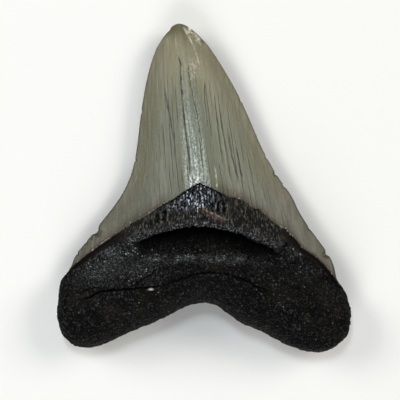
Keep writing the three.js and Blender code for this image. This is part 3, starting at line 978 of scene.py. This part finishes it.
def mineral_root(finish):
    """Root bone turned to black mineral.

    The eye sees a dull black, because pores swallow its gloss, with grey sand and a few pale glints in it;
    the glints, and the paler sand on its lit torus, are painted.
    """
    material, node, place, rubbed, crest, hollow, crack, worn = new_finish(
        "root_bone_turned_to_stone", "rubbed", "crest", "hollow", "crack", "worn")
    clouds = node("MapRange", SMOOTH, grain(node, place, 9.0), 0.45, 0.75)
    colour = node("Mix", COLOURS, clouds, finish.root, finish.root_brown)
    # The sand's real grains are finer, and are drawn as coarse as they need to be to show.
    sand = grain(node, place, 0.65, 1.0, 3.0, 0.7)
    # Rubbed and lit places are greyer; on the torus and the lip this is a painted highlight.
    grey = node("Math", PLUS, sand, node("Math", TIMES, rubbed, 0.14))
    grey = node("Math", PLUS, grey, node("Math", TIMES, crest, 0.1))
    colour = node("Mix", COLOURS, node("MapRange", SMOOTH, grey, 0.52, 0.7), colour, finish.root_grain)
    colour = node("Mix", COLOURS, node("Math", TIMES, rubbed, 0.3), colour, finish.root_grain)
    sandy = node("Math", TIMES, rubbed, node("MapRange", SMOOTH, sand, 0.5, 0.68))
    colour = node("Mix", COLOURS, sandy, colour, finish.lip)
    # Painted glints: one cell in several holds a pale speck, under half a millimetre wide, of its own
    # brightness, more of them where the sand is rubbed or lit.
    stray = node("TexNoise", {}, place, Scale=1 / (0.6 * MM), out="Color")
    strayed = node("VectorMath", PLUS, place, node("VectorMath", SCALED, stray, 0.8 * MM))
    cell = node("TexVoronoi", {}, strayed, Scale=1 / (0.85 * MM), out="Color")
    chosen = node("SeparateColor", {}, cell, out="Red")
    chosen = node("Math", PLUS, chosen, node("Math", TIMES, rubbed, 0.33))
    glint = node("Math", TIMES, node("MapRange", SMOOTH, chosen, 0.91, 1.14),
                 node("MapRange", SMOOTH, cell.node.outputs["Distance"], 0.42, 0.15))
    colour = node("Mix", COLOURS, glint, colour, finish.painted_root_glints)
    # Painted shade fills the hollow under the lip.
    colour = node("Mix", COLOURS, node("Math", TIMES, hollow, 0.95), colour, finish.painted_pit_and_hollow_shade)
    # Painted shade darkens the creases.
    colour = node("Mix", COLOURS, node("MapRange", SMOOTH, crack, 0.15, 0.75), colour, finish.painted_crease_shade)
    colour = node("Mix", COLOURS, worn, colour, finish.worn)
    dull = node("MapRange", SMOOTH, grain(node, place, 0.6), 0.4, 0.7, 0.8, 0.45)
    end_finish(node, colour, dull, node("Math", TIMES, sand, 0.7 * MM), IOR=1.5, Specular_IOR_Level=0.06)
    return material


# ---- operators ----

class FOSSIL_OT_make_tooth(bpy.types.Operator):
    """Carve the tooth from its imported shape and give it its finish"""

    bl_idname = "fossil.make_tooth"
    bl_label = "Make tooth"

    def execute(self, context):
        blank = welded_quads(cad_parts[NODE])
        fine = rounded(blank, SURFACE_LEVELS)
        bm = rounded(blank, MESH_LEVELS)
        refine(bm, BVHTree.FromBMesh(fine))
        carve(bm, context.scene.tooth_shape)
        bmesh.ops.triangulate(bm, faces=[face for face in bm.faces if len(face.verts) > 4])
        mesh = bpy.data.meshes.new("megalodon_tooth")
        bm.to_mesh(mesh)
        for spare in (blank, fine, bm):
            spare.free()
        mesh.shade_smooth()
        for make_finish in (polished_enameloid, glazed_bourlette, mineral_root):
            mesh.materials.append(make_finish(context.scene.tooth_finish))
        tooth = bpy.data.objects.new("megalodon_tooth", mesh)
        context.scene.collection.objects.link(tooth)
        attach(tooth, "root")
        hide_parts(NODE)
        return {"FINISHED"}


class FOSSIL_OT_make_stage(bpy.types.Operator):
    """Make the floor, the soft lights and the camera"""

    bl_idname = "fossil.make_stage"
    bl_label = "Make stage"

    def execute(self, context):
        scene = context.scene
        make_floor(scene, scene.stage_look)
        make_lights(scene, scene.stage_look)
        make_room(scene, scene.stage_look)
        make_camera(scene, scene.stage_look)
        scene.view_settings.view_transform = "Standard"
        return {"FINISHED"}


FLOOR_HALF_WIDTH = 1.5         # metres
FLOOR_GAP = 0.05 * MM          # below the tooth
PAPER_ROUGHNESS = 0.9
ROOM_SEEN = 0.85               # strength of the room as the camera sees it
SENSOR_WIDTH = 36              # millimetres, as the lens
AIM_HEIGHT = 8 * MM
AIM_LEFT, AIM_DOWN = 1.3 * MM, 4.6 * MM  # from the tooth's centre


def make_floor(scene, look):
    """A sheet of matt paper that the tooth lies on."""
    bm = bmesh.new()
    bmesh.ops.create_grid(bm, x_segments=1, y_segments=1, size=FLOOR_HALF_WIDTH)
    bmesh.ops.translate(bm, verts=bm.verts, vec=(0, 0, CAD_LOW.z - FLOOR_GAP))
    mesh = bpy.data.meshes.new("floor")
    bm.to_mesh(mesh)
    bm.free()
    paper = bpy.data.materials.new("matt_white_paper")
    paper.use_nodes = True
    shader = paper.node_tree.nodes["Principled BSDF"]
    shader.inputs["Base Color"].default_value = look.floor
    shader.inputs["Roughness"].default_value = PAPER_ROUGHNESS
    mesh.materials.append(paper)
    floor = bpy.data.objects.new("floor", mesh)
    scene.collection.objects.link(floor)
    floor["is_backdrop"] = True


def area_light(scene, name, azimuth, elevation, distance, size, power, tint):
    """A soft box that faces the tooth; azimuth 0 is beyond the tip, 90 to its right."""
    light = bpy.data.lights.new(name, "AREA")
    light.shape = "RECTANGLE"
    light.size, light.size_y = size
    light.energy = power
    light.color = linear(tint)[:3]
    made = bpy.data.objects.new(name, light)
    turn, lift = math.radians(azimuth), math.radians(elevation)
    away = Vector((math.sin(turn) * math.cos(lift), math.cos(turn) * math.cos(lift), math.sin(lift)))
    made.location = (TOOTH_LOW + TOOTH_HIGH) / 2 + away * distance
    made.rotation_euler = away.to_track_quat("Z", "Y").to_euler()
    scene.collection.objects.link(made)


def make_lights(scene, look):
    """A small key light beyond the tip for the sheen, and wide boxes on both sides and at the root's end."""
    area_light(scene, "key_beyond_tip", -16, 69, 0.8, (0.09, 0.16), look.key_power, "#eef5ff")
    area_light(scene, "fill_left", -66, 34, 1.1, (0.6, 0.45), look.fill_power * 0.98, "#fffcf6")
    area_light(scene, "fill_right", 66, 34, 1.1, (0.6, 0.45), look.fill_power * 1.04, "#fff8f0")
    area_light(scene, "fill_root_side", 188, 30, 0.8, (0.5, 0.35), look.fill_power * 0.5, "#ffffff")


def make_room(scene, look):
    """The room is seen as a pale backdrop, but lights the tooth less than it looks."""
    world = bpy.data.worlds.new("pale_room")
    world.use_nodes = True
    tree = world.node_tree
    seen = add(tree, "LightPath", {}, out="Is Camera Ray")
    background = tree.nodes["Background"]
    background.inputs["Color"].default_value = look.backdrop
    tree.links.new(add(tree, "Mix", {}, seen, look.sky, ROOM_SEEN), background.inputs["Strength"])
    scene.world = world


def make_camera(scene, look):
    """Looks down on the lying tooth, root nearest."""
    data = bpy.data.cameras.new("camera")
    data.lens = look.lens
    data.sensor_width = SENSOR_WIDTH
    centre = (TOOTH_LOW + TOOTH_HIGH) / 2
    aim = Vector((centre.x - AIM_LEFT, centre.y - AIM_DOWN, AIM_HEIGHT))
    distance = look.view_width * data.lens / data.sensor_width
    back = Vector((0, -math.cos(look.camera_elevation), math.sin(look.camera_elevation)))
    camera = bpy.data.objects.new("camera", data)
    camera.location = aim + back * distance
    camera.rotation_euler = back.to_track_quat("Z", "Y").to_euler()
    scene.collection.objects.link(camera)
    scene.camera = camera


# ---- panel and registration ----

class FOSSIL_PT_tooth(bpy.types.Panel):
    """Lists the tooth's values and the steps that build it"""

    bl_idname = "FOSSIL_PT_tooth"
    bl_label = "Fossil tooth"
    bl_space_type = "VIEW_3D"
    bl_region_type = "UI"
    bl_category = "Fossil"

    def draw(self, context):
        layout = self.layout
        for group in (context.scene.tooth_shape, context.scene.tooth_finish, context.scene.stage_look):
            box = layout.box()
            for name in group.bl_rna.properties.keys():
                if name not in {"rna_type", "name"}:
                    box.prop(group, name)
        layout.operator(FOSSIL_OT_make_tooth.bl_idname)
        layout.operator(FOSSIL_OT_make_stage.bl_idname)


CLASSES = (ToothShape, ToothFinish, StageLook, FOSSIL_OT_make_tooth, FOSSIL_OT_make_stage, FOSSIL_PT_tooth)


def register():
    for cls in CLASSES:
        bpy.utils.register_class(cls)
    bpy.types.Scene.tooth_shape = bpy.props.PointerProperty(type=ToothShape)
    bpy.types.Scene.tooth_finish = bpy.props.PointerProperty(type=ToothFinish)
    bpy.types.Scene.stage_look = bpy.props.PointerProperty(type=StageLook)


def unregister():
    del bpy.types.Scene.tooth_shape
    del bpy.types.Scene.tooth_finish
    del bpy.types.Scene.stage_look
    for cls in reversed(CLASSES):
        bpy.utils.unregister_class(cls)


def main():
    register()
    bpy.ops.fossil.make_tooth()
    bpy.ops.fossil.make_stage()


if __name__ == "__main__":
    main()
